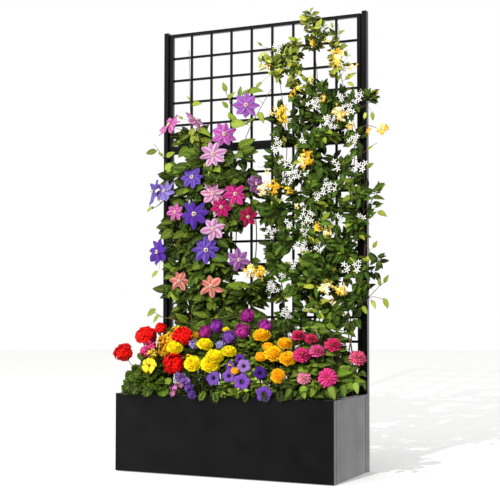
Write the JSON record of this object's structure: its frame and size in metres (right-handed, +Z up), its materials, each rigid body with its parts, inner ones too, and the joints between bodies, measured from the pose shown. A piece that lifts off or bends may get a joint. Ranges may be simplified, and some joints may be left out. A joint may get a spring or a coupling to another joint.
{
  "type": "planter with trellis",
  "caption": "Rectangular folded-steel planter box with a full-width grid trellis between two slotted posts, planted with climbers and bedding flowers.",
  "frame": {"origin": "on the floor, midway between the box's front face and the backs of the posts, under the middle of the centre runner pad", "axes": "+X to the right seen from the front, +Y from the front to the trellis, +Z up"},
  "size_m": [1.085, 0.432, 1.795],
  "materials": {
    "black_powder_coat": "satin black powder coat on folded and extruded metal",
    "black_rubber": "matt moulded rubber",
    "black_nylon": "moulded nylon, matt",
    "zinc_plated_steel": "zinc plated",
    "potting_soil": "bark and fibre potting compost, crumbly",
    "climber_leaves": "living leaf, slightly waxy",
    "bedding_leaves": "living leaf, soft",
    "woody_stems": "twining bark",
    "clematis_petals": "living petal, violet to pink",
    "honeysuckle_petals": "living petal, cream to amber",
    "jasmine_petals": "living petal, white",
    "geranium_petals": "living petal, red",
    "yellow_marigold_petals": "living petal, yellow",
    "orange_marigold_petals": "living petal, orange",
    "petunia_petals": "living petal, violet",
    "phlox_petals": "living petal, magenta",
    "zinnia_petals": "living petal, pink"
  },
  "bodies": {
    "root": {"back_panel": "black_powder_coat", "centre_runner": "black_powder_coat", "centre_tie": "black_powder_coat", "clematis": "climber_leaves", "climber_stems": "woody_stems", "corner_nuts": "zinc_plated_steel", "corner_screws": "zinc_plated_steel", "crossbar": "black_powder_coat", "crossbar_screws": "zinc_plated_steel", "floor_tray": "black_powder_coat", "front_panel": "black_powder_coat", "geraniums": "bedding_leaves", "honeysuckle_and_jasmine": "climber_leaves", "left_back_corner_seal": "black_rubber", "left_front_corner_seal": "black_rubber", "left_post": "black_powder_coat", "left_post_cap": "black_nylon", "left_post_foot": "black_nylon", "left_runner": "black_powder_coat", "left_side_panel": "black_powder_coat", "lower_joiner_bar": "black_powder_coat", "lower_panel_bottom_rail": "black_powder_coat", "lower_panel_left_stile": "black_powder_coat", "lower_panel_level_bars": "black_powder_coat", "lower_panel_right_stile": "black_powder_coat", "lower_panel_top_rail": "black_powder_coat", "lower_panel_upright_bars": "black_powder_coat", "middle_joiner_bar": "black_powder_coat", "middle_panel_bottom_rail": "black_powder_coat", "middle_panel_left_stile": "black_powder_coat", "middle_panel_level_bars": "black_powder_coat", "middle_panel_right_stile": "black_powder_coat", "middle_panel_top_rail": "black_powder_coat", "middle_panel_upright_bars": "black_powder_coat", "orange_marigolds": "bedding_leaves", "petunias": "bedding_leaves", "phlox": "bedding_leaves", "post_screws": "zinc_plated_steel", "right_back_corner_seal": "black_rubber", "right_front_corner_seal": "black_rubber", "right_post": "black_powder_coat", "right_post_cap": "black_nylon", "right_post_foot": "black_nylon", "right_runner": "black_powder_coat", "right_side_panel": "black_powder_coat", "runner_pads": "black_rubber", "runner_rivets": "zinc_plated_steel", "soil": "potting_soil", "tie_screws": "zinc_plated_steel", "upper_panel_bottom_rail": "black_powder_coat", "upper_panel_left_stile": "black_powder_coat", "upper_panel_level_bars": "black_powder_coat", "upper_panel_right_stile": "black_powder_coat", "upper_panel_top_rail": "black_powder_coat", "upper_panel_upright_bars": "black_powder_coat", "yellow_marigolds": "bedding_leaves", "zinnias": "bedding_leaves"}
  },
  "joints": []
}
